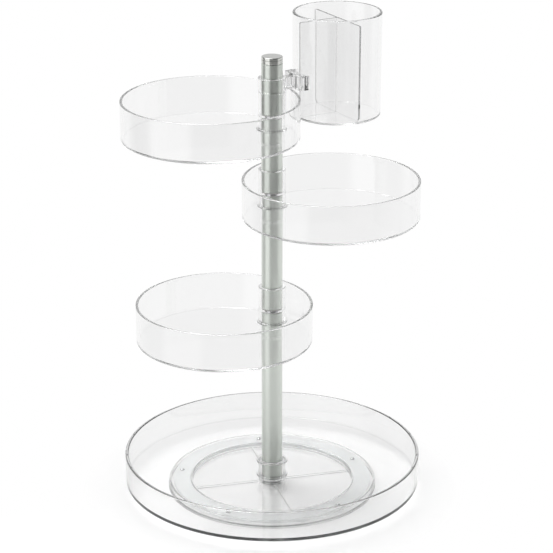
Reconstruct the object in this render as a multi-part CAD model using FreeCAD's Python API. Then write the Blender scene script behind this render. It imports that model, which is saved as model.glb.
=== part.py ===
"""Rotating organizer: clear swivel trays and a brush cup on one jointed pole, over a turntable base.

Millimetres, +Z up. The origin is on the pole's axis at the underside of the foot pads.
Azimuths are degrees from +X, counter-clockwise seen from above.
"""

import FreeCAD, Part

import math
import os

# ---- driving dimensions -------------------------------------------------------------------
RUNNING_GAP = 0.07  # radial, between a shaft and the bore that turns on it
SLIP_GAP = 0.05  # axial, between a washer and the face that slides over it
SEAT_GAP = 0.05  # radial, between pieces that are pushed together

BASE_RADIUS = 146.8  # the base tray, 11.5 inches across
BASE_UNDERSIDE_Z = 8.5
BASE_RIM_Z = 38.6
BASE_DRAFT = 0.6
BASE_WALL = 3.2
FLOOR_THICKNESS = 2.5
FLOOR_CORNER = 0.8  # radius between wall and floor, outside and inside
RIM_ROUNDING = 0.7
INNER_DRAFT_SHARE = 0.8  # the inner walls lean less than the outer ones

FOOT_SKIRT_RADIUS = 104.0  # at its lower edge
FOOT_TOP_RADIUS = 102.8
FOOT_TOP_Z = 7.6
FOOT_EDGE_Z = 0.4
FOOT_FLOOR_Z = (0.8, 2.4)
FOOT_WALL = 1.8
RACE_RADIUS = (80.0, 81.6)
RACE_LEDGE = (83.2, 3.65)  # outer radius and top of the step that the retainer slides on
RIB_AZIMUTHS = (15.0, 105.0, 195.0, 285.0)
RIB_REACH = (14.4, 80.2)
RIB_WIDTH = 1.6
RIB_TOP_Z = 4.2
PAD_COUNT = 5
PAD_CIRCLE = 90.0
PAD_RADIUS = 6.0

BALL_COUNT = 5
BALL_CIRCLE = 92.0
BALL_RADIUS = 2.95
BALL_AZIMUTH = 26.6  # of the first ball
BALL_POCKET_GAP = 0.1
RETAINER_RADIUS = (81.9, 98.6)
RETAINER_Z = (3.7, 7.0)

POLE_RADIUS = 10.2
TUBE_WALL = 1.2
POLE_BOTTOM_Z = 8.5
POLE_TOP_Z = 437.5
GROOVE_HEIGHT = 0.8
GROOVE_RADIUS = 9.6
CAP_HEIGHT = 5.6
CAP_SPIGOT = 12.0
PLUG_LENGTH = 14.0
STUD_RADIUS = 4.0
STUD_REACH = 11.0  # length of thread in each plug
SHOULDER_RADIUS = 6.03
SLIP_WASHER = (6.2, 9.8, 0.8)  # inner radius, outer radius, thickness

SOCKET_RADIUS = 13.5
SOCKET_FLANGE_RADIUS = 15.5
SOCKET_SKIRT_Z = 3.2
SOCKET_WEB_Z = 6.0
SOCKET_LIP_HEIGHT = 1.6
SOCKET_TOP_Z = 27.4

HUB_RADIUS = 9.6
HUB_TOP_Z = 4.9
BOLT_HEAD = (5.5, 0.4, 2.25)  # radius, lower z, upper z
BOLT_SHANK_RADIUS = 3.0
BOLT_THREAD_RADIUS = 2.5
BOLT_TIP_Z = 20.0
BOLT_KEY = (4.0, 1.2)  # width across the flats and depth of the key socket
PIVOT_WASHER = (3.1, 7.0, 0.8)

TRAY_RADIUS = 85.1
TRAY_HEIGHT = 38.2
TRAY_WALL = 2.6
TRAY_DRAFT = 0.3
TRAY_REACH = 63.05  # pole axis to tray axis
COLLAR_RADIUS = 13.25
COLLAR_RISE = 1.0  # above the rim
COLLAR_FLANGE_RADIUS = 15.0
COLLAR_FLANGE_HEIGHT = 1.3
WEB_BOTTOM = 14.9  # above the tray's underside
WEB_THICKNESS = 2.0
TRAYS = {  # underside z, azimuth of the tray's centre
    "lower": (173.6, 223.4),
    "middle": (293.6, -27.0),
    "upper": (370.7, 203.0),
}

CUP_RADIUS = 42.9
CUP_UNDERSIDE_Z = 377.0
CUP_RIM_Z = 478.7
CUP_WALL = 2.5
CUP_DRAFT = 0.6
CUP_REACH = 72.0  # pole axis to cup axis
CUP_AZIMUTH = 30.0
DIVIDER_THICKNESS = 1.8
DIVIDER_TOP_Z = 472.5
DIVIDER_CORNER = 4.4

ARM_RING_RADIUS = 13.5
ARM_RING_HEIGHT = 13.4
ARM_LIFT = 0.1  # over the collar that it rests on
NECK_WIDTH = 9.0
NECK_SETBACK = 1.3  # neck and plate stop this far under the ring's top
PLATE_WIDTH = 21.0
PLATE_SPAN = (25.6, 28.2)  # distance of the plate's two faces from the pole axis
BLOCK_WIDTH = 30.0
BLOCK_FACE = 22.6  # distance of the block's front from the pole axis
BLOCK_Z = (409.5, 423.8)
SLOT_GAP = 0.3

# ---- worked-out dimensions ----------------------------------------------------------------
BASE_FLOOR_Z = BASE_UNDERSIDE_Z + FLOOR_THICKNESS
BALL_Z = FOOT_FLOOR_Z[1] + SLIP_GAP + BALL_RADIUS
TUBE_INNER_RADIUS = POLE_RADIUS - TUBE_WALL
HUB_WEB_Z = BOLT_HEAD[2] + PIVOT_WASHER[2] + SLIP_GAP
COLLAR_BORE = POLE_RADIUS + RUNNING_GAP
COLLAR_HEIGHT = TRAY_HEIGHT + COLLAR_RISE
WASHER_STEP = SLIP_WASHER[2] + SLIP_GAP
ARM_RING_Z = TRAYS["upper"][0] + COLLAR_HEIGHT + ARM_LIFT
ARM_RING_TOP_Z = ARM_RING_Z + ARM_RING_HEIGHT
NECK_TOP_Z = ARM_RING_TOP_Z - NECK_SETBACK
CUP_INNER_RADIUS = CUP_RADIUS - CUP_WALL
CUP_INNER_TAPER = CUP_DRAFT * INNER_DRAFT_SHARE
CUP_FLOOR_Z = CUP_UNDERSIDE_Z + FLOOR_THICKNESS

UP = FreeCAD.Vector(0, 0, 1)
AXIS_FOOT = FreeCAD.Vector(0, 0, 0)


# ---- helpers ------------------------------------------------------------------------------
def rounded_wire(corners):
    """A closed wire in the XZ plane. A corner is (x, z), (x, z, radius) or, cut flat, (x, z, -chamfer)."""
    points = [FreeCAD.Vector(corner[0], 0, corner[1]) for corner in corners]
    starts = []
    arcs = []
    ends = []
    for i, corner in enumerate(corners):
        here = points[i]
        if len(corner) == 2:
            starts.append(here)
            arcs.append(None)
            ends.append(here)
            continue
        back = (points[i - 1] - here).normalize()
        ahead = (points[(i + 1) % len(points)] - here).normalize()
        if corner[2] < 0:
            starts.append(here - back * corner[2])
            ends.append(here - ahead * corner[2])
            arcs.append(Part.LineSegment(starts[-1], ends[-1]).toShape())
            continue
        half_angle = back.getAngle(ahead) / 2
        trim = corner[2] / math.tan(half_angle)
        middle = (back + ahead).normalize() * (corner[2] / math.sin(half_angle) - corner[2])
        starts.append(here + back * trim)
        ends.append(here + ahead * trim)
        arcs.append(Part.Arc(starts[-1], here + middle, ends[-1]).toShape())
    edges = []
    for i in range(len(corners)):
        if arcs[i] is not None:
            edges.append(arcs[i])
        edges.append(Part.LineSegment(ends[i], starts[(i + 1) % len(corners)]).toShape())
    return Part.Wire(edges)


def lathe(corners):
    """The solid of revolution about Z of a closed (r, z) outline."""
    solid = Part.Face(rounded_wire(corners)).revolve(AXIS_FOOT, UP, 360)
    return solid


def rod(radius, z_low, z_high, x=0.0, y=0.0):
    return Part.makeCylinder(radius, z_high - z_low, FreeCAD.Vector(x, y, z_low))


def ring(inner_radius, outer_radius, z_low, z_high):
    return rod(outer_radius, z_low, z_high).cut(rod(inner_radius, z_low, z_high))


def block(x_span, width, z_span):
    """A box centred on the XZ plane."""
    corner = FreeCAD.Vector(x_span[0], -width / 2, z_span[0])
    return Part.makeBox(x_span[1] - x_span[0], width, z_span[1] - z_span[0], corner)


def turned(shape, azimuth):
    copy = shape.copy()
    copy.rotate(AXIS_FOOT, UP, azimuth)
    return copy


def moved(shape, x=0.0, z=0.0):
    copy = shape.copy()
    copy.translate(FreeCAD.Vector(x, 0, z))
    return copy


def around(shape, count, first_azimuth=0.0):
    return [turned(shape, first_azimuth + 360 * i / count) for i in range(count)]


def upright_edges(shape, x_low, x_high):
    """The straight vertical edges whose x lies in the span."""
    found = []
    for edge in shape.Edges:
        box = edge.BoundBox
        if box.XLength < 0.01 and box.YLength < 0.01 and x_low <= box.Center.x <= x_high:
            found.append(edge)
    return found


def save(name, shapes):
    """One solid, or a group of separate solids, as parts/NAME.step."""
    shape = shapes if isinstance(shapes, Part.Shape) else Part.makeCompound(shapes)
    if not shape.isValid():
        raise ValueError(name + " is not a valid shape")
    shape.exportStep("parts/" + name + ".step")
    print(name, "solids", len(shape.Solids), "volume", round(shape.Volume))


# ---- foot and bearing ---------------------------------------------------------------------
def foot_plate():
    """The dished foot: sloping skirt, ball track, race wall, radial ribs and the pivot hub."""
    lower, upper = FOOT_FLOOR_Z
    skirt = lathe([
        (0, lower),
        (FOOT_SKIRT_RADIUS - FOOT_WALL, lower),
        (FOOT_SKIRT_RADIUS - FOOT_WALL, FOOT_EDGE_Z),
        (FOOT_SKIRT_RADIUS, FOOT_EDGE_Z),
        (FOOT_TOP_RADIUS, FOOT_TOP_Z, 0.8),
        (FOOT_TOP_RADIUS - FOOT_WALL, FOOT_TOP_Z, -0.4),
        (FOOT_TOP_RADIUS - FOOT_WALL + 0.8, upper, -0.4),
        (RACE_LEDGE[0], upper),
        (RACE_LEDGE[0], RACE_LEDGE[1]),
        (RACE_RADIUS[1], RACE_LEDGE[1]),
        (RACE_RADIUS[1], FOOT_TOP_Z, -0.4),
        (RACE_RADIUS[0], FOOT_TOP_Z, -0.4),
        (RACE_RADIUS[0] - 0.4, upper),
        (HUB_RADIUS + 0.4, upper),
        (HUB_RADIUS, HUB_TOP_Z),
        (0, HUB_TOP_Z),
    ])
    rib = block(RIB_REACH, RIB_WIDTH, (lower, RIB_TOP_Z))
    ribs = [turned(rib, azimuth) for azimuth in RIB_AZIMUTHS]
    drop = rod(PIVOT_WASHER[1] + 0.4, 0, HUB_WEB_Z)
    bush_hole = rod(bush_outer_radius(), 0, HUB_TOP_Z + 1)
    return skirt.multiFuse(ribs).removeSplitter().cut(drop).cut(bush_hole)


def foot_pads():
    pad = lathe([
        (0, 0),
        (PAD_RADIUS, 0, -0.4),
        (PAD_RADIUS, FOOT_FLOOR_Z[0]),
        (0, FOOT_FLOOR_Z[0]),
    ])
    return around(moved(pad, x=PAD_CIRCLE), PAD_COUNT)


def bush_outer_radius():
    return BOLT_SHANK_RADIUS + RUNNING_GAP + 1.6


def pivot_bush():
    """A flanged nylon bush in the foot's hub; the pole socket turns on its flange."""
    bore = BOLT_SHANK_RADIUS + RUNNING_GAP
    flange_top = SOCKET_WEB_Z - SLIP_GAP
    return lathe([
        (bore, HUB_WEB_Z),
        (bush_outer_radius(), HUB_WEB_Z),
        (bush_outer_radius(), HUB_TOP_Z),
        (HUB_RADIUS - 0.4, HUB_TOP_Z),
        (HUB_RADIUS - 0.4, flange_top),
        (bore, flange_top),
    ])


def ball_pockets(radius):
    ball = Part.makeSphere(radius, FreeCAD.Vector(BALL_CIRCLE, 0, BALL_Z))
    return around(ball, BALL_COUNT, BALL_AZIMUTH)


def ball_retainer():
    """The frosted ring that keeps the balls apart, with one snap-in pocket for each."""
    inner, outer = RETAINER_RADIUS
    low, high = RETAINER_Z
    band = lathe([
        (inner, low, -0.4),
        (outer, low, -0.4),
        (outer, high, -0.4),
        (inner, high, -0.4),
    ])
    return band.cut(Part.makeCompound(ball_pockets(BALL_RADIUS + BALL_POCKET_GAP)))


# ---- base tray and pole -------------------------------------------------------------------
def dish(radius, underside, rim, wall, draft):
    """A round open tray about the Z axis, with drafted walls and a rounded rim."""
    floor = underside + FLOOR_THICKNESS
    return lathe([
        (0, underside),
        (radius - draft, underside, FLOOR_CORNER),
        (radius, rim, RIM_ROUNDING),
        (radius - wall, rim, RIM_ROUNDING),
        (radius - wall - draft * INNER_DRAFT_SHARE, floor, FLOOR_CORNER),
        (0, floor),
    ])


def base_tray():
    shell = dish(BASE_RADIUS, BASE_UNDERSIDE_Z, BASE_RIM_Z, BASE_WALL, BASE_DRAFT)
    return shell.cut(rod(SOCKET_RADIUS + SEAT_GAP, 0, BASE_RIM_Z))


def pole_socket():
    """The clear socket bonded through the base tray's floor: it holds the pole and turns on the foot's hub."""
    bore = POLE_RADIUS + SEAT_GAP
    lip_z = SOCKET_TOP_Z - SOCKET_LIP_HEIGHT
    return lathe([
        (HUB_RADIUS + 0.9, SOCKET_SKIRT_Z),
        (SOCKET_RADIUS, SOCKET_SKIRT_Z, -0.5),
        (SOCKET_RADIUS, BASE_FLOOR_Z),
        (SOCKET_FLANGE_RADIUS, BASE_FLOOR_Z),
        (SOCKET_FLANGE_RADIUS, BASE_FLOOR_Z + 1.6, -0.6),
        (SOCKET_RADIUS, BASE_FLOOR_Z + 1.6),
        (SOCKET_RADIUS, lip_z),
        (SOCKET_FLANGE_RADIUS, lip_z, -0.4),
        (SOCKET_FLANGE_RADIUS, SOCKET_TOP_Z, -0.6),
        (bore, SOCKET_TOP_Z, -0.4),
        (bore, POLE_BOTTOM_Z),
        (BOLT_SHANK_RADIUS + SEAT_GAP, POLE_BOTTOM_Z),
        (BOLT_SHANK_RADIUS + SEAT_GAP, SOCKET_WEB_Z),
        (HUB_RADIUS + 0.9, SOCKET_WEB_Z),
    ])


def pivot_bolt():
    """The shoulder bolt that holds the turntable to the foot, with a hexagonal key socket in its head."""
    radius, head_low, head_high = BOLT_HEAD
    bolt = lathe([
        (0, head_low),
        (radius, head_low, -0.4),
        (radius, head_high),
        (BOLT_SHANK_RADIUS, head_high),
        (BOLT_SHANK_RADIUS, POLE_BOTTOM_Z),
        (BOLT_THREAD_RADIUS, POLE_BOTTOM_Z),
        (BOLT_THREAD_RADIUS, BOLT_TIP_Z, -0.5),
        (0, BOLT_TIP_Z),
    ])
    corner_radius = BOLT_KEY[0] / math.sqrt(3)
    corners = []
    for i in range(7):
        angle = math.radians(60 * i)
        corners.append(FreeCAD.Vector(corner_radius * math.cos(angle), corner_radius * math.sin(angle), head_low))
    key = Part.Face(Part.makePolygon(corners)).extrude(UP * BOLT_KEY[1])
    return bolt.cut(key)


def pivot_washer():
    inner, outer, thickness = PIVOT_WASHER
    return ring(inner, outer, BOLT_HEAD[2], BOLT_HEAD[2] + thickness)


def pole_breaks():
    """The z where each pole section ends below a tray's web and the next one starts above it."""
    breaks = []
    for underside, _ in TRAYS.values():
        web = underside + WEB_BOTTOM
        breaks.append((web - WASHER_STEP, web + WEB_THICKNESS + WASHER_STEP))
    return breaks


def pole_spans():
    lows = [POLE_BOTTOM_Z] + [high for _, high in pole_breaks()]
    highs = [low for low, _ in pole_breaks()] + [POLE_TOP_Z]
    return list(zip(lows, highs))


def pole_section(span):
    return lathe([
        (TUBE_INNER_RADIUS, span[0]),
        (POLE_RADIUS, span[0], -0.3),
        (POLE_RADIUS, span[1], -0.3),
        (TUBE_INNER_RADIUS, span[1]),
    ])


def tube_plug(z_low, hole_radius):
    return ring(hole_radius, TUBE_INNER_RADIUS, z_low, z_low + PLUG_LENGTH)


def tube_plugs(index):
    """The threaded plugs pressed into the ends of one pole section."""
    low, high = pole_spans()[index]
    bottom_hole = BOLT_THREAD_RADIUS if index == 0 else STUD_RADIUS
    plugs = [tube_plug(low, bottom_hole)]
    if index < len(pole_spans()) - 1:
        plugs.append(tube_plug(high - PLUG_LENGTH, STUD_RADIUS))
    return plugs


def joint_stud(index):
    """A double-ended stud whose shoulder keeps two pole sections apart, so that the tray's web turns freely."""
    low, high = pole_breaks()[index]
    return lathe([
        (0, low - STUD_REACH),
        (STUD_RADIUS, low - STUD_REACH, -0.6),
        (STUD_RADIUS, low),
        (SHOULDER_RADIUS, low),
        (SHOULDER_RADIUS, high),
        (STUD_RADIUS, high),
        (STUD_RADIUS, high + STUD_REACH, -0.6),
        (0, high + STUD_REACH),
    ])


def slip_washers(index):
    """A nylon washer under the tray's web and one over it."""
    inner, outer, thickness = SLIP_WASHER
    low, high = pole_breaks()[index]
    return [ring(inner, outer, low, low + thickness), ring(inner, outer, high - thickness, high)]


def pole_cap():
    """The turned cap: a spigot in the tube, a shadow groove and a flat disc."""
    disc_z = POLE_TOP_Z + GROOVE_HEIGHT
    return lathe([
        (0, POLE_TOP_Z - CAP_SPIGOT),
        (TUBE_INNER_RADIUS, POLE_TOP_Z - CAP_SPIGOT, -0.8),
        (TUBE_INNER_RADIUS, POLE_TOP_Z),
        (GROOVE_RADIUS, POLE_TOP_Z),
        (GROOVE_RADIUS, disc_z),
        (POLE_RADIUS, disc_z, -0.2),
        (POLE_RADIUS, disc_z + CAP_HEIGHT, 0.7),
        (0, disc_z + CAP_HEIGHT),
    ])


# ---- swivel trays -------------------------------------------------------------------------
def swivel_tray(level):
    """A round tray with a collar near one side: the collar's inner web hangs between two pole sections."""
    underside, azimuth = TRAYS[level]
    shell = moved(dish(TRAY_RADIUS, 0, TRAY_HEIGHT, TRAY_WALL, TRAY_DRAFT), x=TRAY_REACH)
    collar = lathe([
        (0, 0),
        (COLLAR_FLANGE_RADIUS, 0),
        (COLLAR_FLANGE_RADIUS, FLOOR_THICKNESS + COLLAR_FLANGE_HEIGHT, -0.5),
        (COLLAR_RADIUS, FLOOR_THICKNESS + COLLAR_FLANGE_HEIGHT),
        (COLLAR_RADIUS, COLLAR_HEIGHT, -0.5),
        (0, COLLAR_HEIGHT),
    ])
    web_top = WEB_BOTTOM + WEB_THICKNESS
    lower_bore = rod(COLLAR_BORE, -1, WEB_BOTTOM)
    upper_bore = rod(COLLAR_BORE, web_top, COLLAR_HEIGHT + 1)
    stud_hole = rod(SHOULDER_RADIUS + RUNNING_GAP, 0, COLLAR_HEIGHT)
    tray = shell.fuse(collar).removeSplitter().cut(lower_bore).cut(upper_bore).cut(stud_hole)
    return turned(moved(tray, z=underside), azimuth)


# ---- brush cup and its bracket ------------------------------------------------------------
def cup_arm():
    """The swivel ring on the pole with a neck and an upright T plate that the cup slides down over."""
    body = rod(ARM_RING_RADIUS, ARM_RING_Z, ARM_RING_TOP_Z)
    neck = block((0, PLATE_SPAN[0] + 0.5), NECK_WIDTH, (ARM_RING_Z + 0.4, NECK_TOP_Z))
    plate = block(PLATE_SPAN, PLATE_WIDTH, (ARM_RING_Z + 1.0, NECK_TOP_Z))
    plate = plate.makeFillet(0.8, upright_edges(plate, *PLATE_SPAN))
    arm = body.multiFuse([neck, plate]).removeSplitter()
    roots = upright_edges(arm, ARM_RING_RADIUS - 2, ARM_RING_RADIUS)
    arm = arm.makeFillet(2.0, roots)
    bore = rod(COLLAR_BORE, ARM_RING_Z - 1, ARM_RING_TOP_Z + 1)
    return turned(arm.cut(bore), CUP_AZIMUTH)


def cup_socket():
    """The block on the cup's wall, about the pole axis, and the T slot that is cut in it from below."""
    body = block((BLOCK_FACE, CUP_REACH - CUP_RADIUS + 3), BLOCK_WIDTH, BLOCK_Z)
    body = body.makeFillet(1.2, upright_edges(body, BLOCK_FACE - 1, BLOCK_FACE + 1))
    slot_z = (BLOCK_Z[0] - 1, NECK_TOP_Z + SLIP_GAP)
    face_span = (BLOCK_FACE - 1, PLATE_SPAN[0])
    neck_slot = block(face_span, NECK_WIDTH + 2 * SLOT_GAP, slot_z)
    plate_span = (PLATE_SPAN[0] - SLOT_GAP, PLATE_SPAN[1] + SLOT_GAP)
    plate_slot = block(plate_span, PLATE_WIDTH + 2 * SLOT_GAP, slot_z)
    return body, neck_slot.fuse(plate_slot)


def cup_hollow(gap=0.0):
    """The space inside the cup from its floor to its rim, less a gap along the wall."""
    top_radius = CUP_INNER_RADIUS - gap
    return lathe([
        (0, CUP_FLOOR_Z),
        (top_radius - CUP_INNER_TAPER, CUP_FLOOR_Z),
        (top_radius, CUP_RIM_Z),
        (0, CUP_RIM_Z),
    ])


def brush_cup():
    shell = moved(dish(CUP_RADIUS, CUP_UNDERSIDE_Z, CUP_RIM_Z, CUP_WALL, CUP_DRAFT), x=CUP_REACH)
    body, slot = cup_socket()
    bracket = body.cut(moved(cup_hollow(), x=CUP_REACH))
    cup = shell.fuse(bracket).removeSplitter().cut(slot)
    return turned(cup, CUP_AZIMUTH)


def divider_wall(two_sided):
    """An upright panel in the XZ plane, from the cup's axis or right across it, its lower outer corners rounded."""
    top_reach = CUP_INNER_RADIUS - SEAT_GAP
    floor_reach = top_reach - CUP_INNER_TAPER
    corners = [
        (floor_reach, CUP_FLOOR_Z, DIVIDER_CORNER),
        (top_reach, DIVIDER_TOP_Z, 1.2),
    ]
    if two_sided:
        corners.append((-top_reach, DIVIDER_TOP_Z, 1.2))
        corners.append((-floor_reach, CUP_FLOOR_Z, DIVIDER_CORNER))
    else:
        corners.append((0, DIVIDER_TOP_Z))
        corners.append((0, CUP_FLOOR_Z))
    panel = Part.Face(rounded_wire(corners)).extrude(FreeCAD.Vector(0, DIVIDER_THICKNESS, 0))
    panel.translate(FreeCAD.Vector(0, -DIVIDER_THICKNESS / 2, 0))
    return panel


def cup_divider():
    """The T-shaped insert: one wall across the cup and a half wall from its middle to the bracket side."""
    across = turned(divider_wall(two_sided=True), 90)
    half = turned(divider_wall(two_sided=False), 180)
    insert = across.fuse(half).removeSplitter().common(cup_hollow(SEAT_GAP))
    return turned(moved(insert, x=CUP_REACH), CUP_AZIMUTH)


# ---- write every sub-part -----------------------------------------------------------------
os.makedirs("parts", exist_ok=True)
save("foot_plate", foot_plate())
save("foot_pads", foot_pads())
save("pivot_bush", pivot_bush())
save("ball_retainer", ball_retainer())
save("bearing_balls", ball_pockets(BALL_RADIUS))
save("base_tray", base_tray())
save("pole_socket", pole_socket())
save("pivot_bolt", pivot_bolt())
save("pivot_washer", pivot_washer())
for index, span in enumerate(pole_spans()):
    save("pole_section_%d" % (index + 1), pole_section(span))
    save("tube_plugs_%d" % (index + 1), tube_plugs(index))
for index, level in enumerate(TRAYS):
    save("tray_" + level, swivel_tray(level))
    save("joint_stud_" + level, joint_stud(index))
    save("slip_washers_" + level, slip_washers(index))
save("pole_cap", pole_cap())
save("cup_arm", cup_arm())
save("brush_cup", brush_cup())
save("cup_divider", cup_divider())
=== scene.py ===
"""Looks of the rotating organizer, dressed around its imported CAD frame. Metres, +Z up."""

import math

import bmesh
import bpy
from mathutils import Matrix, Vector


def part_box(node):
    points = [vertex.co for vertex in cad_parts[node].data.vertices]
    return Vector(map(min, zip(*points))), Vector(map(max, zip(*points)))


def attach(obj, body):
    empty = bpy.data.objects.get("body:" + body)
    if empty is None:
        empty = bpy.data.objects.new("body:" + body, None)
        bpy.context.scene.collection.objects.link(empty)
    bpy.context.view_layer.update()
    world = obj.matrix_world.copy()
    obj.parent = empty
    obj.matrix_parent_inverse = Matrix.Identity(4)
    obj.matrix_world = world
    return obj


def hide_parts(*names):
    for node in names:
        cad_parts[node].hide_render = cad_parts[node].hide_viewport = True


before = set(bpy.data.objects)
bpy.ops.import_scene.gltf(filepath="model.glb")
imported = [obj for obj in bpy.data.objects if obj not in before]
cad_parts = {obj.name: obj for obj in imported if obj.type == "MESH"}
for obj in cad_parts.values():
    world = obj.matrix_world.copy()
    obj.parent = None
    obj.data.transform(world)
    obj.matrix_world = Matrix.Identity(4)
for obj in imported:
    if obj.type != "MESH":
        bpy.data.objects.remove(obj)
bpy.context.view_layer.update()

MM = 0.001
FINE = 320  # segments round the trays, the base, the foot, the retainer and the cup
MEDIUM = 96  # segments round the socket, the collars and the arm's ring
SMALL = 64  # segments round the cap
ARC_STEPS = 6  # segments in a rounded corner
SHARP_DEGREES = 35.0  # an edge is shaded sharp where its faces turn by more than this
SLANT_OF_EDGES = 0.1, 0.99  # the upward share of an edge face's normal

# ---- sizes in millimetres; most are those of the part's source ----------------------------
HAIR = 0.04  # between two clear pieces that touch, so that the seam shows
MERGE_DISTANCE = 0.002  # vertices closer than this are one
OVERCUT = 5.0  # how far a cutting tool reaches past what it cuts, and a root into what a tool cuts later
FLOOR_THICKNESS, RIM_ROUNDING, INNER_DRAFT_SHARE = 2.5, 1.15, 0.8
BASE_CORNER, TRAY_CORNER = 0.5, 2.4  # radius of the lower outer edge
BASE_RADIUS, BASE_WALL, BASE_DRAFT = 146.8, 3.2, 0.6
BASE_UNDERSIDE_Z, BASE_RIM_Z = 8.5, 38.6
TRAY_RADIUS, TRAY_WALL, TRAY_DRAFT = 85.1, 2.6, 0.3
TRAY_HEIGHT, TRAY_REACH = 38.2, 63.05
TRAYS = {"lower": (173.6, 223.4), "middle": (293.6, -27.0), "upper": (370.7, 203.0)}  # underside z, azimuth
COLLAR_RADIUS, COLLAR_FLANGE_RADIUS = 13.25, 15.0
COLLAR_RISE, COLLAR_FLANGE_HEIGHT = 1.0, 1.3
COLLAR_BORE, STUD_HOLE = 10.27, 6.1
WEB_BOTTOM, WEB_THICKNESS = 14.9, 2.0
SOCKET_RADIUS, SOCKET_FLANGE_RADIUS = 13.5, 15.5
SOCKET_SKIRT_Z, SOCKET_WEB_Z, SOCKET_TOP_Z = 3.2, 6.0, 27.4
SOCKET_BORE, SOCKET_RECESS, BOLT_HOLE = 10.25, 10.5, 3.05
SOCKET_FLANGE_HEIGHT, SOCKET_CLEARANCE = 1.6, 0.05
POLE_RADIUS, TUBE_INNER_RADIUS, POLE_BOTTOM_Z = 10.2, 9.0, 8.5
CUP_RADIUS, CUP_WALL, CUP_DRAFT, CUP_REACH, CUP_AZIMUTH = 42.9, 2.5, 0.6, 72.0, 30.0
CUP_UNDERSIDE_Z, CUP_RIM_Z = 377.0, 478.7
DIVIDER_THICKNESS, DIVIDER_TOP_Z, DIVIDER_GAP = 1.8, 472.5, 0.05
DIVIDER_LOWER_CORNER, DIVIDER_TOP_CORNER = 4.4, 1.2
ARM_RING_RADIUS, ARM_RING_CORE = 13.5, 1.0  # the core is cut away by the bore
NECK_START, NECK_WIDTH, NECK_RISE, NECK_SETBACK, NECK_OVERLAP = 5, 9.0, 0.4, 1.3, 1
PLATE_WIDTH, PLATE_SPAN, PLATE_RISE = 21.0, (25.6, 28.2), 1.0
BLOCK_WIDTH, BLOCK_FACE, BLOCK_Z = 30.0, 22.6, (409.5, 423.8)
BLOCK_DRAFT = 0.05  # how much narrower the block is at its foot, as a share
SLOT_GAP, SLOT_TOP_GAP, SLOT_OVERCUT = 0.3, 0.05, 2
FOOT_RADIUS, FOOT_TOP_RADIUS, FOOT_WALL, FOOT_WALL_DRAFT = 104.0, 102.8, 1.8, 0.8
FOOT_EDGE_Z, FOOT_FLOOR_Z, FOOT_TOP_Z = 0.4, (0.82, 2.4), 7.6
RACE_RADIUS, RACE_LEDGE, RACE_DRAFT = (80.0, 81.6), (83.2, 3.65), 0.4
RIB_AZIMUTHS, RIB_REACH, RIB_WIDTH = (15, 105, 195, 285), (14.4, 80.2), 1.6
RIB_TOP_Z, RIB_ROOT = 4.2, 0.8
HUB_RADIUS, HUB_TOP_Z, HUB_WEB_Z, HUB_DRAFT = 9.6, 4.9, 3.1, 0.4
BUSH_RADIUS, BUSH_RECESS = 4.67, 7.4
RETAINER_RADIUS, RETAINER_Z = (81.9, 98.6), (3.7, 7.0)
CAP_SPIGOT_Z, CAP_SEAT_Z, CAP_DISC_Z, CAP_TOP_Z = 425.5, 437.5, 438.3, 443.9
CAP_GROOVE_RADIUS = 9.6
CAP_LINE_Z, CAP_LINE_HALF_HEIGHT, CAP_LINE_DEPTH = 441.2, 0.25, 0.35
BALL_COUNT, BALL_CIRCLE, BALL_RADIUS, BALL_Z, BALL_AZIMUTH = 5, 92.0, 2.95, 5.4, 26.6
POCKET_GAP = 0.1


# ---- mesh helpers -------------------------------------------------------------------------
def rounded(corners):
    """The (r, z) points of a closed outline whose corners are (r, z) or (r, z, radius)."""
    points = []
    for i, corner in enumerate(corners):
        here = Vector(corner[:2])
        if len(corner) == 2:
            points.append(here)
            continue
        back = (Vector(corners[i - 1][:2]) - here).normalized()
        ahead = (Vector(corners[(i + 1) % len(corners)][:2]) - here).normalized()
        half = back.angle(ahead) / 2
        centre = here + (back + ahead).normalized() * corner[2] / math.sin(half)
        start = here + back * corner[2] / math.tan(half) - centre
        end = here + ahead * corner[2] / math.tan(half) - centre
        sweep = start.angle_signed(end)
        for step in range(ARC_STEPS + 1):
            turn = Matrix.Rotation(-sweep * step / ARC_STEPS, 2)
            points.append(centre + turn @ start)
    return points


def mesh_object(name, bm):
    """Makes an object of the mesh, with its faces turned outwards."""
    bmesh.ops.recalc_face_normals(bm, faces=bm.faces)
    mesh = bpy.data.meshes.new(name)
    bm.to_mesh(mesh)
    bm.free()
    obj = bpy.data.objects.new(name, mesh)
    bpy.context.scene.collection.objects.link(obj)
    return obj


def lathe(name, corners, segments, x=0.0):
    """A closed solid of revolution about a vertical axis at x, from an outline in millimetres."""
    bm = bmesh.new()
    columns = []
    for r, z in rounded(corners):
        if r < 1e-6:
            columns.append([bm.verts.new((x * MM, 0, z * MM))] * segments)
            continue
        column = []
        for k in range(segments):
            angle = 2 * math.pi * k / segments
            place = ((x + r * math.cos(angle)) * MM, r * math.sin(angle) * MM, z * MM)
            column.append(bm.verts.new(place))
        columns.append(column)
    for i in range(len(columns)):
        here, there = columns[i], columns[(i + 1) % len(columns)]
        if here[0] is here[1] and there[0] is there[1]:
            continue
        for k in range(segments):
            n = (k + 1) % segments
            corners_of_face = list(dict.fromkeys([here[k], here[n], there[n], there[k]]))
            if len(corners_of_face) > 2:
                bm.faces.new(corners_of_face)
    return mesh_object(name, bm)


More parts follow.
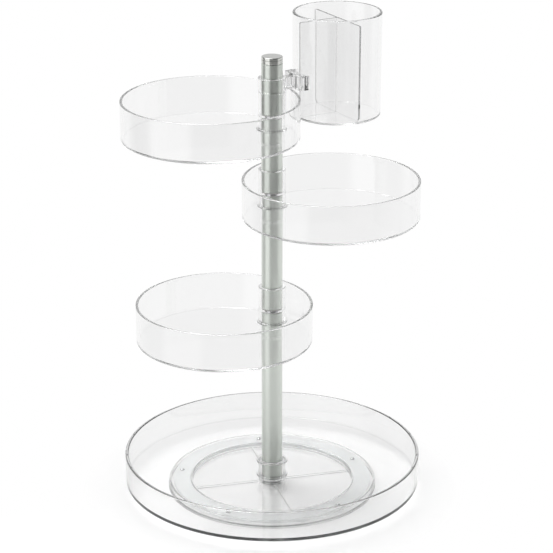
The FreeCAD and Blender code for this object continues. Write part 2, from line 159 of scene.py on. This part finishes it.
def box(name, x_span, width, z_span, bevel=0.0):
    """A box centred on the XZ plane, from millimetres, its edges rounded by bevel."""
    bm = bmesh.new()
    bmesh.ops.create_cube(bm, size=1.0)
    for v in bm.verts:
        v.co.x = MM * (x_span[0] if v.co.x < 0 else x_span[1])
        v.co.y *= MM * width
        v.co.z = MM * (z_span[0] if v.co.z < 0 else z_span[1])
    if bevel:
        bmesh.ops.bevel(
            bm, geom=bm.edges[:], offset=bevel * MM, segments=3, profile=0.5, affect="EDGES"
        )
    return mesh_object(name, bm)


def apply_modifiers(obj):
    """Bakes obj's modifiers into its mesh."""
    graph = bpy.context.evaluated_depsgraph_get()
    done = bpy.data.meshes.new_from_object(obj.evaluated_get(graph))
    obj.modifiers.clear()
    obj.data = done


def combine(obj, tool, operation):
    """Joins tool to obj, or cuts it away, and deletes tool."""
    modifier = obj.modifiers.new("combine", "BOOLEAN")
    modifier.operation = operation
    modifier.solver = "EXACT"
    modifier.object = tool
    bpy.context.view_layer.update()
    apply_modifiers(obj)
    bpy.data.objects.remove(tool)
    return obj


def placed(obj, azimuth=0.0, x=0.0, z=0.0):
    """Moves obj's mesh along x and z, then turns it about the pole's axis."""
    shift = Matrix.Translation((x * MM, 0, z * MM))
    obj.data.transform(Matrix.Rotation(math.radians(azimuth), 4, "Z") @ shift)
    return obj


def smooth(obj):
    """Shades curved faces smooth, keeps flat faces flat and edges sharp."""
    bm = bmesh.new()
    bm.from_mesh(obj.data)
    bmesh.ops.remove_doubles(bm, verts=bm.verts, dist=MERGE_DISTANCE * MM)
    for face in bm.faces:
        face.smooth = True
    for edge in bm.edges:
        edge.smooth = edge.is_manifold and edge.calc_face_angle(0) < math.radians(SHARP_DEGREES)
    bm.to_mesh(obj.data)
    bm.free()
    weights = obj.modifiers.new("flat_faces", "WEIGHTED_NORMAL")
    weights.keep_sharp = True
    weights.weight = 100
    apply_modifiers(obj)


def mark_worn(obj):
    """Marks the rounded edges of a piece, whose faces slant, as worn."""
    worn = obj.data.attributes.new("worn", "FLOAT", "FACE")
    for face, mark in zip(obj.data.polygons, worn.data):
        mark.value = SLANT_OF_EDGES[0] < abs(face.normal.z) < SLANT_OF_EDGES[1]


def dress(obj, body, material, slot, *nodes):
    """Finishes a piece: its shading and material, the body it rides on and the CAD nodes it replaces."""
    smooth(obj)
    mark_worn(obj)
    obj.data.materials.clear()
    obj.data.materials.append(material)
    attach(obj, body)
    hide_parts(*nodes)
    return obj


# ---- materials ----------------------------------------------------------------------------
WORN_ROUGHNESS = 0.12  # of the rounded edges of clear pieces
CLEAR_COLOUR, CLEAR_IOR = (0.99, 0.99, 0.99, 1), 1.49
ABSORPTION_COLOUR = 0.02, 0.04, 0.04, 1
MARKS_SCALE, MARKS_ROUGHNESS = 900.0, 0.03  # fine marks on polished faces
WAVES_SCALE, WAVES_DEPTH = 55.0, 0.05  # the faint waves of a moulded face; the depth is in mm
FROST_COLOUR, FROST_TRANSMISSION, FROST_IOR = (0.86, 0.87, 0.87, 1), 0.55, 1.45
FROST_SCALE, FROST_ROUGHNESS = 2600.0, (0.5, 0.7)
FROST_LAMP_TINT = 0.87, 0.88, 0.88, 1
METAL_VARIATION, MOULDED_VARIATION = (0.05, 0.06), 0.08  # how far the roughness strays along the grain


def new_material(name):
    """A material with its node tree and its shader."""
    material = bpy.data.materials.new(name)
    material.use_nodes = True
    tree = material.node_tree
    shader = tree.nodes["Principled BSDF"]
    return material, tree, shader


def math_node(tree, operation, first, second):
    """One arithmetic node; first and second are sockets or numbers."""
    node = tree.nodes.new("ShaderNodeMath")
    node.operation = operation
    for socket, value in zip(node.inputs, (first, second)):
        if isinstance(value, (int, float)):
            socket.default_value = value
        else:
            tree.links.new(value, socket)
    return node.outputs[0]


def ramp(tree, value, start, end, low, high, interpolation="LINEAR"):
    """Maps the range from start to end onto low to high, and stays level outside it."""
    node = tree.nodes.new("ShaderNodeMapRange")
    node.interpolation_type = interpolation
    for name, number in (("From Min", start), ("From Max", end), ("To Min", low), ("To Max", high)):
        node.inputs[name].default_value = number
    tree.links.new(value, node.inputs["Value"])
    return node.outputs["Result"]


def vector_node(tree, operation, first, second=None, output="Vector"):
    """One vector arithmetic node; second is a socket or three numbers."""
    node = tree.nodes.new("ShaderNodeVectorMath")
    node.operation = operation
    for socket, value in zip(node.inputs, (first, second)):
        if isinstance(value, tuple):
            socket.default_value = value
        elif value is not None:
            tree.links.new(value, socket)
    return node.outputs[output]


def noise(tree, scale, stretch=(1, 1, 1), detail=3.0):
    """A noise texture in object coordinates, in metres; the stretch is small along a grain."""
    place = tree.nodes.new("ShaderNodeTexCoord")
    mapping = tree.nodes.new("ShaderNodeMapping")
    mapping.inputs["Scale"].default_value = stretch
    texture = tree.nodes.new("ShaderNodeTexNoise")
    texture.inputs["Scale"].default_value = scale
    texture.inputs["Detail"].default_value = detail
    tree.links.new(place.outputs["Object"], mapping.inputs["Vector"])
    tree.links.new(mapping.outputs["Vector"], texture.inputs["Vector"])
    return texture.outputs["Fac"]


def bump(tree, shader, factor, strength, depth_mm):
    """Raises the shader's surface where factor is high."""
    node = tree.nodes.new("ShaderNodeBump")
    node.inputs["Strength"].default_value = strength
    node.inputs["Distance"].default_value = depth_mm * MM
    tree.links.new(factor, node.inputs["Height"])
    tree.links.new(node.outputs["Normal"], shader.inputs["Normal"])


def let_lamps_through(tree, shader, tint):
    """Rays to lamps pass the shader as if it were thin tinted film, so clear pieces cast pale shadows."""
    path = tree.nodes.new("ShaderNodeLightPath")
    film = tree.nodes.new("ShaderNodeBsdfTransparent")
    film.inputs["Color"].default_value = tint
    mix = tree.nodes.new("ShaderNodeMixShader")
    tree.links.new(path.outputs["Is Shadow Ray"], mix.inputs["Fac"])
    tree.links.new(shader.outputs["BSDF"], mix.inputs[1])
    tree.links.new(film.outputs["BSDF"], mix.inputs[2])
    output = tree.nodes["Material Output"]
    tree.links.new(mix.outputs["Shader"], output.inputs["Surface"])


def acrylic(name, waviness, depth_loss, lamp_share):
    """Clear acrylic: polished, faintly wavy, finely marked, dark only where light runs far inside it."""
    material, tree, shader = new_material(name)
    shader.inputs["Base Color"].default_value = CLEAR_COLOUR
    shader.inputs["Transmission Weight"].default_value = 1.0
    shader.inputs["IOR"].default_value = CLEAR_IOR
    marks = noise(tree, MARKS_SCALE, detail=4.0)
    worn = tree.nodes.new("ShaderNodeAttribute")
    worn.attribute_name = "worn"
    edges = math_node(tree, "MULTIPLY", worn.outputs["Fac"], WORN_ROUGHNESS)
    roughness = math_node(tree, "MAXIMUM", ramp(tree, marks, 0, 1, 0.0, MARKS_ROUGHNESS), edges)
    tree.links.new(roughness, shader.inputs["Roughness"])
    bump(tree, shader, noise(tree, WAVES_SCALE, detail=1.0), waviness, WAVES_DEPTH)
    inside = tree.nodes.new("ShaderNodeVolumeAbsorption")
    inside.inputs["Color"].default_value = ABSORPTION_COLOUR
    inside.inputs["Density"].default_value = depth_loss
    tree.links.new(inside.outputs["Volume"], tree.nodes["Material Output"].inputs["Volume"])
    let_lamps_through(tree, shader, (lamp_share, lamp_share, lamp_share, 1))
    return material


def frosted(name):
    """Milky plastic with a rough skin."""
    material, tree, shader = new_material(name)
    shader.inputs["Base Color"].default_value = FROST_COLOUR
    shader.inputs["Transmission Weight"].default_value = FROST_TRANSMISSION
    shader.inputs["IOR"].default_value = FROST_IOR
    grain = noise(tree, FROST_SCALE, detail=5.0)
    tree.links.new(ramp(tree, grain, 0, 1, *FROST_ROUGHNESS), shader.inputs["Roughness"])
    bump(tree, shader, grain, strength=0.3, depth_mm=0.04)
    let_lamps_through(tree, shader, FROST_LAMP_TINT)
    return material


def brushed_metal(name, colour, roughness, stretch, depth_mm):
    """Metal with a directional grain."""
    material, tree, shader = new_material(name)
    shader.inputs["Base Color"].default_value = colour
    shader.inputs["Metallic"].default_value = 1.0
    grain = noise(tree, 1.0, stretch, detail=6.0)
    smoothest, roughest = roughness - METAL_VARIATION[0], roughness + METAL_VARIATION[1]
    tree.links.new(ramp(tree, grain, 0, 1, smoothest, roughest), shader.inputs["Roughness"])
    bump(tree, shader, grain, strength=0.25, depth_mm=depth_mm)
    return material


def paint_top_shade(material, colour):
    """Paints shade on what faces up: faces that point up get a darker colour, a painted shade, not a colour
    of the metal.
    """
    tree = material.node_tree
    shader = tree.nodes["Principled BSDF"]
    normal = tree.nodes.new("ShaderNodeTexCoord").outputs["Normal"]
    axes = tree.nodes.new("ShaderNodeSeparateXYZ")
    tree.links.new(normal, axes.inputs["Vector"])
    mix = tree.nodes.new("ShaderNodeMix")
    mix.data_type = "RGBA"
    first, second, result = mix.inputs[6], mix.inputs[7], mix.outputs[2]  # the node's colour sockets
    first.default_value = shader.inputs["Base Color"].default_value
    second.default_value = colour
    tree.links.new(axes.outputs["Z"], mix.inputs["Factor"])
    tree.links.new(result, shader.inputs["Base Color"])
    return material


def moulded(name, colour, roughness, grain_scale=1500.0):
    """Plain plastic or rubber with a fine grain."""
    material, tree, shader = new_material(name)
    shader.inputs["Base Color"].default_value = colour
    grain = noise(tree, grain_scale, detail=4.0)
    smoothest, roughest = roughness - MOULDED_VARIATION, roughness + MOULDED_VARIATION
    tree.links.new(ramp(tree, grain, 0, 1, smoothest, roughest), shader.inputs["Roughness"])
    bump(tree, shader, grain, strength=0.2, depth_mm=0.03)
    return material


clear = acrylic("clear_acrylic", waviness=0.03, depth_loss=1.8, lamp_share=0.97)
dense_clear = acrylic("dense_clear_acrylic", waviness=0.03, depth_loss=8.0, lamp_share=0.91)
frost = frosted("frosted_plastic")
satin = brushed_metal(
    "satin_aluminium", (0.70, 0.735, 0.69, 1), roughness=0.32, stretch=(2500, 2500, 25), depth_mm=0.002
)
polished = brushed_metal(
    "cap_aluminium", (0.70, 0.71, 0.68, 1), roughness=0.14, stretch=(60, 60, 4000), depth_mm=0.005
)
# painted shade: the cap's top faces get a darker colour
paint_top_shade(polished, (0.47, 0.475, 0.46, 1))
zinc = brushed_metal(
    "steel", (0.72, 0.72, 0.73, 1), roughness=0.22, stretch=(700, 700, 700), depth_mm=0.005
)
nylon = moulded("white_nylon", (0.86, 0.86, 0.83, 1), roughness=0.45)
grey = moulded("grey_plastic", (0.36, 0.37, 0.37, 1), roughness=0.5)
rubber = moulded("pad_rubber", (0.78, 0.79, 0.79, 1), roughness=0.7, grain_scale=2200.0)


# ---- pieces -------------------------------------------------------------------------------
def dish_outline(radius, underside, rim, wall, draft, corner):
    """A round open tray with drafted walls, a rounded rim and a rounded lower edge."""
    floor = underside + FLOOR_THICKNESS
    return [
        (0, underside),
        (radius - draft, underside, corner),
        (radius, rim, RIM_ROUNDING),
        (radius - wall, rim, RIM_ROUNDING),
        (radius - wall - draft * INNER_DRAFT_SHARE, floor),
        (0, floor),
    ]


def base_tray():
    """The wide tray on the turntable, with a hole for the socket."""
    outline = dish_outline(BASE_RADIUS, BASE_UNDERSIDE_Z, BASE_RIM_Z, BASE_WALL, BASE_DRAFT, BASE_CORNER)
    hole = SOCKET_RADIUS + SOCKET_CLEARANCE
    outline[0] = (hole, BASE_UNDERSIDE_Z)
    outline[-1] = (hole, outline[-1][1])
    tray = lathe("clear_base_tray", outline, FINE)
    return dress(tray, "turntable", dense_clear, "clear_acrylic", "base_tray")


def pole_socket():
    """The flanged sleeve round the pole's foot, with the web that the bolt holds down."""
    lip_z = SOCKET_TOP_Z - SOCKET_FLANGE_HEIGHT
    seat_z = BASE_UNDERSIDE_Z + FLOOR_THICKNESS + HAIR
    flange_top = BASE_UNDERSIDE_Z + FLOOR_THICKNESS + SOCKET_FLANGE_HEIGHT
    socket = lathe("clear_pole_socket", [
        (SOCKET_RECESS, SOCKET_SKIRT_Z),
        (SOCKET_RADIUS, SOCKET_SKIRT_Z, 0.5),
        (SOCKET_RADIUS, seat_z),
        (SOCKET_FLANGE_RADIUS, seat_z, 0.2),
        (SOCKET_FLANGE_RADIUS, flange_top, 0.6),
        (SOCKET_RADIUS, flange_top, 0.6),
        (SOCKET_RADIUS, lip_z, 0.6),
        (SOCKET_FLANGE_RADIUS, lip_z, 0.4),
        (SOCKET_FLANGE_RADIUS, SOCKET_TOP_Z, 0.6),
        (SOCKET_BORE, SOCKET_TOP_Z, 0.4),
        (SOCKET_BORE, POLE_BOTTOM_Z - HAIR),
        (BOLT_HOLE, POLE_BOTTOM_Z - HAIR),
        (BOLT_HOLE, SOCKET_WEB_Z),
        (SOCKET_RECESS, SOCKET_WEB_Z),
    ], MEDIUM)
    return dress(socket, "turntable", dense_clear, "clear_acrylic", "pole_socket")


def swivel_tray(level):
    """A tray with its collar and the web inside it, as one clear moulding."""
    underside, azimuth = TRAYS[level]
    outline = dish_outline(TRAY_RADIUS, 0, TRAY_HEIGHT, TRAY_WALL, TRAY_DRAFT, TRAY_CORNER)
    tray = lathe("clear_tray_" + level, outline, FINE, x=TRAY_REACH)
    flange_top = FLOOR_THICKNESS + COLLAR_FLANGE_HEIGHT
    top = TRAY_HEIGHT + COLLAR_RISE
    collar = lathe("collar", [
        (0, FLOOR_THICKNESS / 2),
        (COLLAR_FLANGE_RADIUS, FLOOR_THICKNESS / 2),
        (COLLAR_FLANGE_RADIUS, flange_top, 0.5),
        (COLLAR_RADIUS, flange_top, 0.5),
        (COLLAR_RADIUS, top, 0.5),
        (0, top),
    ], MEDIUM)
    web_top = WEB_BOTTOM + WEB_THICKNESS
    bore = lathe("bore", [
        (0, -OVERCUT),
        (COLLAR_BORE, -OVERCUT),
        (COLLAR_BORE, WEB_BOTTOM),
        (STUD_HOLE, WEB_BOTTOM),
        (STUD_HOLE, web_top),
        (COLLAR_BORE, web_top),
        (COLLAR_BORE, top + OVERCUT),
        (0, top + OVERCUT),
    ], MEDIUM)
    combine(tray, collar, "UNION")
    combine(tray, bore, "DIFFERENCE")
    placed(tray, azimuth, z=underside)
    return dress(tray, level + "_tray", clear, "clear_acrylic", "tray_" + level)


def cup_arm():
    """The swivel ring, its neck and the upright T plate."""
    low, high = (corner.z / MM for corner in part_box("cup_arm"))
    ring = lathe("clear_cup_arm", [
        (ARM_RING_CORE, low),
        (ARM_RING_RADIUS, low, 0.4),
        (ARM_RING_RADIUS, high, 0.4),
        (ARM_RING_CORE, high),
    ], MEDIUM)
    neck_span = (NECK_START, PLATE_SPAN[0] + NECK_OVERLAP)
    neck = box("neck", neck_span, NECK_WIDTH, (low + NECK_RISE, high - NECK_SETBACK), bevel=0.3)
    plate = box("plate", PLATE_SPAN, PLATE_WIDTH, (low + PLATE_RISE, high - NECK_SETBACK), bevel=0.5)
    bore = lathe("bore", [
        (0, low - OVERCUT),
        (COLLAR_BORE, low - OVERCUT),
        (COLLAR_BORE, high + OVERCUT),
        (0, high + OVERCUT),
    ], MEDIUM)
    combine(neck, plate, "UNION")
    combine(ring, neck, "UNION")
    combine(ring, bore, "DIFFERENCE")
    placed(ring, CUP_AZIMUTH)
    return dress(ring, "cup_arm", clear, "clear_acrylic", "cup_arm")


def brush_cup():
    """The cup with the bracket block moulded on its wall and the T slot in the block."""
    outline = dish_outline(CUP_RADIUS, CUP_UNDERSIDE_Z, CUP_RIM_Z, CUP_WALL, CUP_DRAFT, TRAY_CORNER)
    cup = lathe("clear_brush_cup", outline[:3] + [(0, CUP_RIM_Z)], FINE, x=CUP_REACH)
    block_span = (BLOCK_FACE, CUP_REACH - CUP_RADIUS + OVERCUT)
    bracket = box("bracket", block_span, BLOCK_WIDTH, BLOCK_Z, bevel=0.6)
    for v in bracket.data.vertices:
        v.co.y *= 1 - BLOCK_DRAFT * (BLOCK_Z[1] * MM - v.co.z) / (BLOCK_Z[1] - BLOCK_Z[0]) / MM
    arm_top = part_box("cup_arm")[1].z / MM
    slot_z = (BLOCK_Z[0] - SLOT_OVERCUT, arm_top - NECK_SETBACK + SLOT_TOP_GAP)
    neck_span = (BLOCK_FACE - SLOT_OVERCUT, PLATE_SPAN[0])
    neck_slot = box("neck_slot", neck_span, NECK_WIDTH + 2 * SLOT_GAP, slot_z)
    plate_span = (PLATE_SPAN[0] - SLOT_GAP, PLATE_SPAN[1] + SLOT_GAP)
    slot = box("plate_slot", plate_span, PLATE_WIDTH + 2 * SLOT_GAP, slot_z)
    inner_rim, inner_floor = outline[3], outline[4]
    hollow = lathe("hollow", [
        (0, inner_floor[1]),
        inner_floor,
        inner_rim[:2],
        (inner_rim[0], CUP_RIM_Z + OVERCUT),
        (0, CUP_RIM_Z + OVERCUT),
    ], FINE, x=CUP_REACH)
    combine(cup, bracket, "UNION")
    combine(cup, hollow, "DIFFERENCE")
    combine(slot, neck_slot, "UNION")
    combine(cup, slot, "DIFFERENCE")
    placed(cup, CUP_AZIMUTH)
    return dress(cup, "cup", clear, "clear_acrylic", "brush_cup")


def divider_panel(name, two_sided):
    """An upright panel in the XZ plane, right across the cup or from the other panel to the wall."""
    low_z = CUP_UNDERSIDE_Z + FLOOR_THICKNESS + HAIR
    top_reach = CUP_RADIUS - CUP_WALL - DIVIDER_GAP
    floor_reach = top_reach - CUP_DRAFT * INNER_DRAFT_SHARE
    corners = [
        (floor_reach, low_z, DIVIDER_LOWER_CORNER),
        (top_reach, DIVIDER_TOP_Z, DIVIDER_TOP_CORNER),
    ]
    if two_sided:
        corners += [(-r, z, radius) for r, z, radius in reversed(corners)]
    else:
        start = DIVIDER_THICKNESS / 2 + DIVIDER_GAP
        corners += [(start, DIVIDER_TOP_Z), (start, low_z)]
    bm = bmesh.new()
    half = DIVIDER_THICKNESS / 2 * MM
    front = [bm.verts.new((x * MM, -half, z * MM)) for x, z in rounded(corners)]
    panel = bm.faces.new(front)
    extruded = bmesh.ops.extrude_face_region(bm, geom=[panel])["geom"]
    moved = [v for v in extruded if isinstance(v, bmesh.types.BMVert)]
    bmesh.ops.translate(bm, vec=(0, 2 * half, 0), verts=moved)
    return mesh_object(name, bm)


def cup_divider():
    """A panel across the cup and half a panel square to it, which form a T."""
    insert = divider_panel("clear_cup_divider", two_sided=True)
    insert.data.transform(Matrix.Rotation(math.radians(90), 4, "Z"))
    half = divider_panel("half", two_sided=False)
    half.data.transform(Matrix.Rotation(math.radians(180), 4, "Z"))
    combine(insert, half, "UNION")
    placed(insert, CUP_AZIMUTH, x=CUP_REACH)
    return dress(insert, "cup", dense_clear, "clear_acrylic", "cup_divider")


def pole_cap():
    """The turned cap: a spigot, a groove over the pole's end and a disc with a fine line round it."""
    cap = lathe("turned_pole_cap", [
        (0, CAP_SPIGOT_Z),
        (TUBE_INNER_RADIUS, CAP_SPIGOT_Z, 0.8),
        (TUBE_INNER_RADIUS, CAP_SEAT_Z),
        (CAP_GROOVE_RADIUS, CAP_SEAT_Z),
        (CAP_GROOVE_RADIUS, CAP_DISC_Z),
        (POLE_RADIUS, CAP_DISC_Z, 0.2),
        (POLE_RADIUS, CAP_LINE_Z - CAP_LINE_HALF_HEIGHT),
        (POLE_RADIUS - CAP_LINE_DEPTH, CAP_LINE_Z),
        (POLE_RADIUS, CAP_LINE_Z + CAP_LINE_HALF_HEIGHT),
        (POLE_RADIUS, CAP_TOP_Z, 0.7),
        (0, CAP_TOP_Z),
    ], SMALL)
    return dress(cap, "turntable", polished, "cap_aluminium", "pole_cap")


def foot_plate():
    """The dished foot with its race wall, its hub and the radial ribs on its floor."""
    lower, upper = FOOT_FLOOR_Z
    bush_seat = BUSH_RADIUS + HAIR
    foot = lathe("clear_foot", [
        (BUSH_RECESS, lower),
        (FOOT_RADIUS - FOOT_WALL, lower),
        (FOOT_RADIUS - FOOT_WALL, FOOT_EDGE_Z),
        (FOOT_RADIUS, FOOT_EDGE_Z),
        (FOOT_TOP_RADIUS, FOOT_TOP_Z, 0.8),
        (FOOT_TOP_RADIUS - FOOT_WALL, FOOT_TOP_Z, 0.5),
        (FOOT_TOP_RADIUS - FOOT_WALL + FOOT_WALL_DRAFT, upper, 0.5),
        (RACE_LEDGE[0], upper),
        (RACE_LEDGE[0], RACE_LEDGE[1]),
        (RACE_RADIUS[1], RACE_LEDGE[1]),
        (RACE_RADIUS[1], FOOT_TOP_Z, 0.5),
        (RACE_RADIUS[0], FOOT_TOP_Z, 0.5),
        (RACE_RADIUS[0] - RACE_DRAFT, upper),
        (HUB_RADIUS + HUB_DRAFT, upper),
        (HUB_RADIUS, HUB_TOP_Z),
        (bush_seat, HUB_TOP_Z),
        (bush_seat, HUB_WEB_Z),
        (BUSH_RECESS, HUB_WEB_Z),
    ], FINE)
    for azimuth in RIB_AZIMUTHS:
        rib = box("rib", RIB_REACH, RIB_WIDTH, (upper - RIB_ROOT, RIB_TOP_Z), bevel=0.25)
        combine(foot, placed(rib, azimuth), "UNION")
    return dress(foot, "foot", dense_clear, "clear_acrylic", "foot_plate")


def ball_retainer():
    """The flat frosted ring with a pocket for each ball."""
    inner, outer = RETAINER_RADIUS
    low, high = RETAINER_Z
    band = lathe("frosted_retainer", [
        (inner, low, 0.4),
        (outer, low, 0.4),
        (outer, high, 0.4),
        (inner, high, 0.4),
    ], FINE)
    for i in range(BALL_COUNT):
        combine(band, placed(pocket_tool(), BALL_AZIMUTH + 360 * i / BALL_COUNT), "DIFFERENCE")
    return dress(band, "ball_ring", frost, "frosted_plastic", "ball_retainer")


def pocket_tool():
    """A sphere a little larger than a ball, on the balls' circle."""
    bm = bmesh.new()
    radius = BALL_RADIUS + POCKET_GAP
    bmesh.ops.create_uvsphere(bm, u_segments=48, v_segments=24, radius=radius * MM)
    bmesh.ops.translate(bm, vec=(BALL_CIRCLE * MM, 0, BALL_Z * MM), verts=bm.verts)
    return mesh_object("pocket", bm)


base_tray()
pole_socket()
foot_plate()
ball_retainer()
for level in TRAYS:
    swivel_tray(level)
cup_arm()
brush_cup()
cup_divider()
pole_cap()

CAD_MATERIALS = {  # by the start of the node's name, for the solids that are shown as they are
    "pole_section": satin,
    "tube_plugs": grey,
    "joint_stud": zinc,
    "slip_washers": nylon,
    "pivot_bush": nylon,
    "pivot_bolt": zinc,
    "pivot_washer": zinc,
    "bearing_balls": zinc,
    "foot_pads": rubber,
}
for node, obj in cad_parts.items():
    for start, material in CAD_MATERIALS.items():
        if node.startswith(start):
            obj.data.materials.clear()
            obj.data.materials.append(material)


# ---- floor, lights and camera -------------------------------------------------------------
# Levels are strengths, of which 1 is white. A reach is a distance from the pole's axis in metres, and a
# height is the upward share of a direction.
FLOOR_RADIUS, FLOOR_SEGMENTS, FLOOR_COLOUR = 1.5, 96, (0.9, 0.9, 0.9, 1)
FLOOR_ROUGHNESS, FLOOR_SPECULAR = 0.6, 0.2
PLAIN_REACH, PLAIN_SHARE = (0.15, 0.19), 0.35  # the floor is all plain white from the second reach on
BACKDROP_LEVEL = 0.945  # of the white background, where metal and clear pieces show it
CEILING_HEIGHT, CEILING_LEVEL = (0.25, 0.7), 0.12  # above the second height the ceiling is at its level
CEILING_GLOW = 0.4  # least light that the ceiling sheds on dull surfaces
WHITE_WALL_DIRECTION, WALL_SPREAD = (0.375, 0.927, 0.0), (-0.25, 0.25)  # cosines between which it fades in
CARD_DIRECTION, CARD_SPREAD, CARD_LEVEL = (-0.79, -0.613, 0.0), (0.80, 0.96), 1.22  # cosines, as above
# painted light on the floor, for reflections: its glow dims along the first reach and rises into a painted
# card along the second
FLOOR_DIM_REACH, FLOOR_DIM_LEVELS = (0.5, 1.25), (0.88, 0.28)  # the floor in front dims along this reach
FLOOR_CARD_REACH, FLOOR_CARD_LEVELS = (0.15, 0.45), (1.0, CARD_LEVEL)
ROOM_DIM_HEIGHT, FRONT_ROOM_LEVEL = (-0.3, 0.1), 0.2
LIGHT_BOUNCES = 64
CAMERA_PLACE, CAMERA_PITCH, CAMERA_LENS, CAMERA_SHIFT = (0, -2.12542, 1.00371), 20.18, 151.1, 0.0081


def seen_around(tree, direction, dim, card_level):
    """What reflections see: a white wall behind, a dim room in front and a pale card at the left."""
    flat = vector_node(tree, "NORMALIZE", vector_node(tree, "MULTIPLY", direction, (1.0, 1.0, 0.0)))
    facing_wall = vector_node(tree, "DOT_PRODUCT", flat, WHITE_WALL_DIRECTION, "Value")
    facing_card = vector_node(tree, "DOT_PRODUCT", flat, CARD_DIRECTION, "Value")
    wall_share = ramp(tree, facing_wall, *WALL_SPREAD, 0.0, 1.0, "SMOOTHSTEP")
    card_share = ramp(tree, facing_card, *CARD_SPREAD, 0.0, 1.0, "SMOOTHSTEP")
    card = math_node(tree, "MULTIPLY", card_share, card_level)
    gain = math_node(tree, "SUBTRACT", BACKDROP_LEVEL, dim)
    room = math_node(tree, "ADD", dim, math_node(tree, "MULTIPLY", wall_share, gain))
    return math_node(tree, "MAXIMUM", room, card)


def straight_rays(tree, path):
    """1 for rays straight from the camera, also through clear pieces, but not by way of a reflection."""
    unreflected = math_node(tree, "LESS_THAN", path.outputs["Glossy Depth"], 0.5)
    through = math_node(tree, "MULTIPLY", path.outputs["Is Transmission Ray"], unreflected)
    return math_node(tree, "MAXIMUM", through, path.outputs["Is Camera Ray"])


def white_floor():
    """A round white table: part lit, with its shadows, and part plain white where it is seen directly.
    Reflections see it glow with painted light instead: a dim room, a white wall and a pale card brighter
    than white.
    """
    bm = bmesh.new()
    bmesh.ops.create_circle(bm, cap_ends=True, segments=FLOOR_SEGMENTS, radius=FLOOR_RADIUS)
    floor = mesh_object("floor", bm)
    material, tree, shader = new_material("white_floor")
    shader.inputs["Base Color"].default_value = FLOOR_COLOUR
    shader.inputs["Roughness"].default_value = FLOOR_ROUGHNESS
    shader.inputs["Specular IOR Level"].default_value = FLOOR_SPECULAR
    place = tree.nodes.new("ShaderNodeTexCoord").outputs["Object"]
    reach = vector_node(tree, "LENGTH", place, output="Value")
    path = tree.nodes.new("ShaderNodeLightPath")
    straight = straight_rays(tree, path)
    mirrored = math_node(tree, "GREATER_THAN", path.outputs["Is Glossy Ray"], straight)
    dim = ramp(tree, reach, *FLOOR_DIM_REACH, *FLOOR_DIM_LEVELS)
    card_level = ramp(tree, reach, *FLOOR_CARD_REACH, *FLOOR_CARD_LEVELS)
    # painted reflection: what reflections see of the floor is this glow, not the lit floor
    around = seen_around(tree, place, dim, card_level)
    backdrop = ramp(tree, path.outputs["Is Camera Ray"], 0, 1, BACKDROP_LEVEL, 1.0)
    level = math_node(tree, "MAXIMUM", around, math_node(tree, "MULTIPLY", straight, backdrop))
    plain = tree.nodes.new("ShaderNodeEmission")
    tree.links.new(level, plain.inputs["Strength"])
    share = ramp(tree, reach, *PLAIN_REACH, PLAIN_SHARE, 1.0)
    share = math_node(tree, "MAXIMUM", math_node(tree, "MULTIPLY", share, straight), mirrored)
    mix = tree.nodes.new("ShaderNodeMixShader")
    tree.links.new(share, mix.inputs["Fac"])
    tree.links.new(shader.outputs["BSDF"], mix.inputs[1])
    tree.links.new(plain.outputs["Emission"], mix.inputs[2])
    tree.links.new(mix.outputs["Shader"], tree.nodes["Material Output"].inputs["Surface"])
    floor.data.materials.append(material)


def studio_world():
    """White all round under a darker ceiling; reflections see what seen_around makes of it."""
    world = bpy.data.worlds.new("studio")
    world.use_nodes = True
    bpy.context.scene.world = world
    tree = world.node_tree
    background = tree.nodes["Background"]
    background.inputs["Color"].default_value = (1, 1, 1, 1)
    direction = tree.nodes.new("ShaderNodeTexCoord").outputs["Generated"]
    axes = tree.nodes.new("ShaderNodeSeparateXYZ")
    tree.links.new(direction, axes.inputs["Vector"])
    height = axes.outputs["Z"]
    path = tree.nodes.new("ShaderNodeLightPath")
    is_diffuse, is_camera = path.outputs["Is Diffuse Ray"], path.outputs["Is Camera Ray"]
    ceiling = ramp(tree, height, *CEILING_HEIGHT, 1.0, CEILING_LEVEL, "SMOOTHSTEP")
    glow = math_node(tree, "MULTIPLY", is_diffuse, CEILING_GLOW)
    ceiling = math_node(tree, "MAXIMUM", ceiling, glow)
    dim = ramp(tree, height, *ROOM_DIM_HEIGHT, FLOOR_DIM_LEVELS[1], FRONT_ROOM_LEVEL)
    around = seen_around(tree, direction, dim, CARD_LEVEL)
    straight = math_node(tree, "MULTIPLY", straight_rays(tree, path), BACKDROP_LEVEL)
    plain = math_node(tree, "MAXIMUM", straight, is_diffuse)
    level = math_node(tree, "MULTIPLY", ceiling, math_node(tree, "MAXIMUM", around, plain))
    strength = math_node(tree, "MAXIMUM", level, is_camera)
    tree.links.new(strength, background.inputs["Strength"])


def softbox(name, location, aim, width, height, watts):
    """A rectangular lamp that the camera doesn't see."""
    data = bpy.data.lights.new(name, "AREA")
    data.shape = "RECTANGLE"
    data.size = width
    data.size_y = height
    data.energy = watts
    lamp = bpy.data.objects.new(name, data)
    lamp.location = location
    lamp.visible_camera = False
    lamp.rotation_euler = (Vector(aim) - Vector(location)).to_track_quat("-Z", "Y").to_euler()
    bpy.context.scene.collection.objects.link(lamp)


def camera():
    """The photographer's place, in front of the object and above it."""
    data = bpy.data.cameras.new("camera")
    data.sensor_width = 36.0
    data.lens = CAMERA_LENS
    data.shift_x = CAMERA_SHIFT
    data.clip_end = 100.0
    obj = bpy.data.objects.new("camera", data)
    obj.location = CAMERA_PLACE
    obj.rotation_euler = (math.radians(90 - CAMERA_PITCH), 0, 0)
    bpy.context.scene.collection.objects.link(obj)
    bpy.context.scene.camera = obj


white_floor()
studio_world()
softbox("top_box", (-0.45, 0.55, 1.8), aim=(0, 0, 0.1), width=1.0, height=1.0, watts=23.0)
camera()

scene = bpy.context.scene
scene.view_settings.view_transform = "Standard"
scene.cycles.max_bounces = LIGHT_BOUNCES
scene.cycles.glossy_bounces = LIGHT_BOUNCES
scene.cycles.transmission_bounces = LIGHT_BOUNCES
scene.cycles.transparent_max_bounces = LIGHT_BOUNCES
